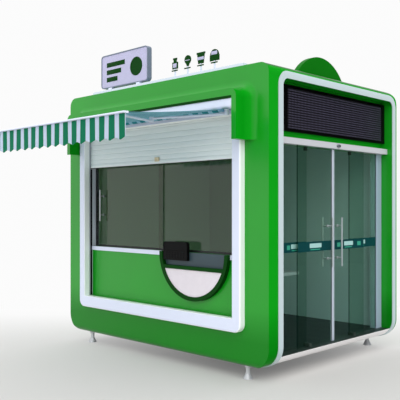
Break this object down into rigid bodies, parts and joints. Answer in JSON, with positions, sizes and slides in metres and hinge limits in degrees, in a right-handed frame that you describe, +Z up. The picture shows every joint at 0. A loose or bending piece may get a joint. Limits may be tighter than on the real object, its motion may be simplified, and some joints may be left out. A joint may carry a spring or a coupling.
{
  "type": "street kiosk",
  "caption": "Street kiosk cabin with a rounded shell, a serving window under an awning, a half-round hatch and a glazed sliding-door end, standing on levelling feet.",
  "frame": {"origin": "on the ground under the middle of the whole outline, awning included", "axes": "+X along the serving front towards the door end, -Y out of the serving front, +Z up"},
  "size_m": [3.116, 3.77, 3.405],
  "materials": {
    "green_shell": "satin paint",
    "dark_green": "satin paint",
    "white_trim": "satin paint",
    "aluminium": "mill finish",
    "base_steel": "matt paint",
    "floor_sheet": "matt",
    "black_plastic": "satin",
    "dark_frame": "satin paint",
    "door_glass": "clear",
    "window_glass": "tinted",
    "steel": "brushed",
    "awning_cloth": "woven",
    "grey_panel": "matt",
    "sign_face": "satin"
  },
  "bodies": {
    "cabin": {"roof": "green_shell", "back_wall": "green_shell", "left_end_wall": "green_shell", "front_posts": "green_shell", "rear_posts": "green_shell", "front_wall_left": "green_shell", "front_wall_right": "green_shell", "front_wall_top": "green_shell", "front_wall_base": "green_shell", "end_wall_head": "green_shell", "apron_panel": "green_shell", "hood_visor": "green_shell", "hood_cheeks": "green_shell", "roof_disc": "green_shell", "hatch_surround": "dark_green", "roof_pictograms": "dark_green", "end_sills": "white_trim", "end_trim_front": "white_trim", "end_trim_rear": "white_trim", "end_trim_head": "white_trim", "door_header": "white_trim", "door_jambs": "white_trim", "frame_stiles": "white_trim", "frame_rails": "white_trim", "window_sill": "white_trim", "hatch_apron": "white_trim", "awning_cassette": "white_trim", "awning_front_bar": "white_trim", "awning_upper_arms": "white_trim", "awning_forearms": "white_trim", "sign_rail": "white_trim", "shutter_guides": "aluminium", "shutter_curtain": "aluminium", "base_tray": "base_steel", "floor_deck": "floor_sheet", "led_display": "black_plastic", "door_sensor": "black_plastic", "glass_fittings": "black_plastic", "card_terminal": "black_plastic", "window_frame": "dark_frame", "side_lights": "door_glass", "window_pane_left": "window_glass", "window_pane_right": "window_glass", "window_handle": "steel", "levelling_feet": "steel", "awning_canopy": "awning_cloth", "awning_valance": "awning_cloth", "hatch_back": "grey_panel", "worktop": "grey_panel", "roof_sign": "sign_face"},
    "near_leaf": {"door_leaf_near": "door_glass", "leaf_edge_near": "white_trim", "door_handle_near": "steel"},
    "far_leaf": {"door_leaf_far": "door_glass", "leaf_edge_far": "white_trim", "door_handle_far": "steel"}
  },
  "joints": [
    {"name": "near_leaf_slide", "type": "slide", "parent": "cabin", "child": "near_leaf", "axis": [0, -1, 0], "range_m": [0, 0.285]},
    {"name": "far_leaf_slide", "type": "slide", "parent": "cabin", "child": "far_leaf", "axis": [0, 1, 0], "range_m": [0, 0.285]}
  ],
  "couplings": [
    {"joint": "far_leaf_slide", "follows": "near_leaf_slide", "ratio": 1}
  ]
}
